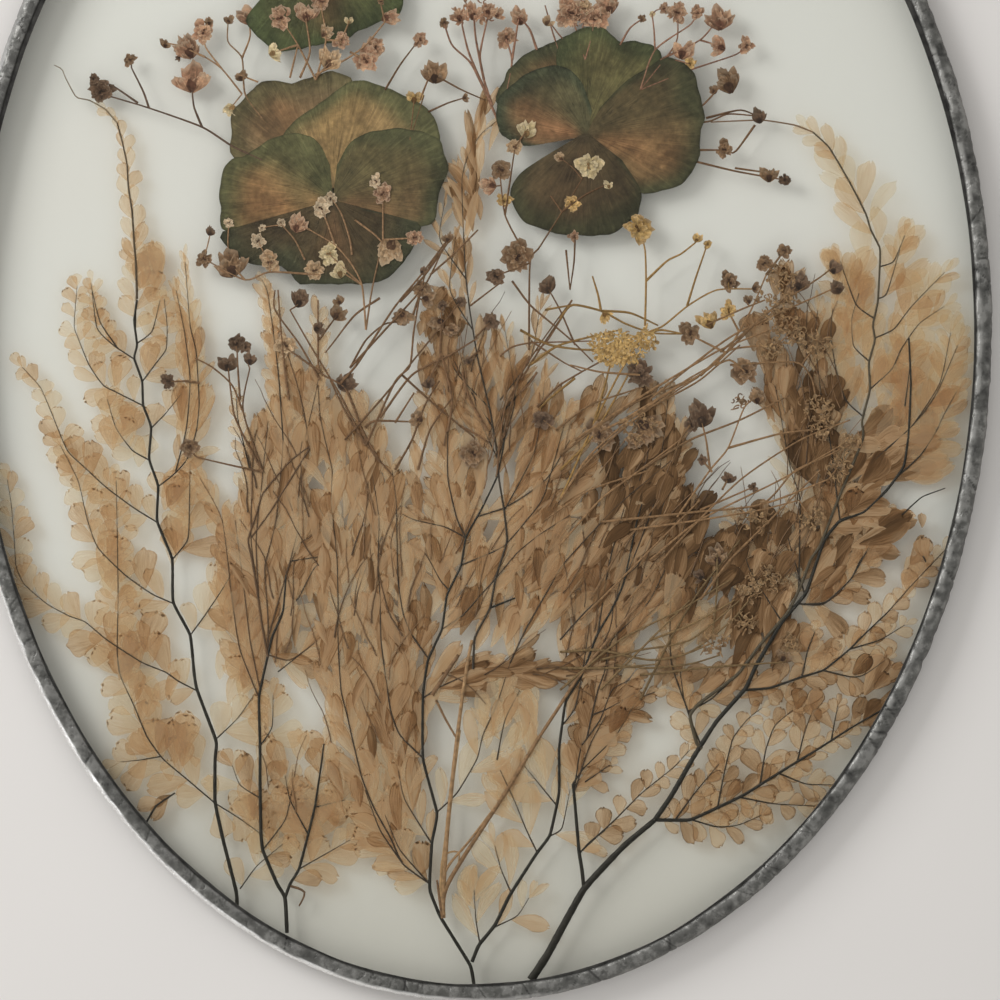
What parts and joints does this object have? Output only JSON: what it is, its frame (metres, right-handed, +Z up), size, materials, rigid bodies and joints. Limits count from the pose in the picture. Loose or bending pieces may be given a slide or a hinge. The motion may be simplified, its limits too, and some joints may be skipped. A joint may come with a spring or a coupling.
{
  "type": "pressed flower frame",
  "caption": "Oval glass frame with a hammered solder rim, holding faded fern fronds, pansies and small flower sprigs pressed flat between clear panes.",
  "frame": {"origin": "centre of the oval on the flat back of the solder rim, which rests on the surface", "axes": "+Z up out of the front glass, +Y along the oval's long axis towards its top, +X to the right as seen from the front"},
  "size_m": [0.23, 0.3, 0.0062],
  "materials": {
    "glass": "clear, polished",
    "foil": "dark patina",
    "solder": "hammered pewter grey",
    "fern": "dry, matt, faded tan",
    "straw": "dry straw",
    "petal": "dry, matt, olive brown",
    "bloom": "dry, matt, tan brown",
    "gold": "dry, matt, old gold"
  },
  "bodies": {
    "root": {"back_glass": "glass", "front_glass": "glass", "foil_edge": "foil", "solder_rim": "solder", "fern_left": "fern", "fern_left_inner": "fern", "fern_mid_left": "fern", "fern_centre_left": "fern", "fern_centre_right": "fern", "fern_centre_tall": "fern", "fern_right": "fern", "fern_right_tall": "fern", "fern_twig": "fern", "fern_leaf": "fern", "straw_stems": "straw", "pansy_left": "petal", "pansy_right": "petal", "pansy_top": "petal", "sprig_upper_left": "bloom", "sprig_top_left": "bloom", "sprig_top": "bloom", "sprig_mid_top": "bloom", "sprig_right_top": "bloom", "sprig_right": "bloom", "umbel_top": "bloom", "sprig_crown": "bloom", "sprig_on_pansy": "bloom", "sprig_between": "bloom", "sprig_dark": "bloom", "sprig_centre_left": "bloom", "sprig_centre": "bloom", "sprig_bundle": "bloom", "sprig_long": "bloom", "sprig_low": "bloom", "umbel_gold": "gold"}
  },
  "joints": []
}
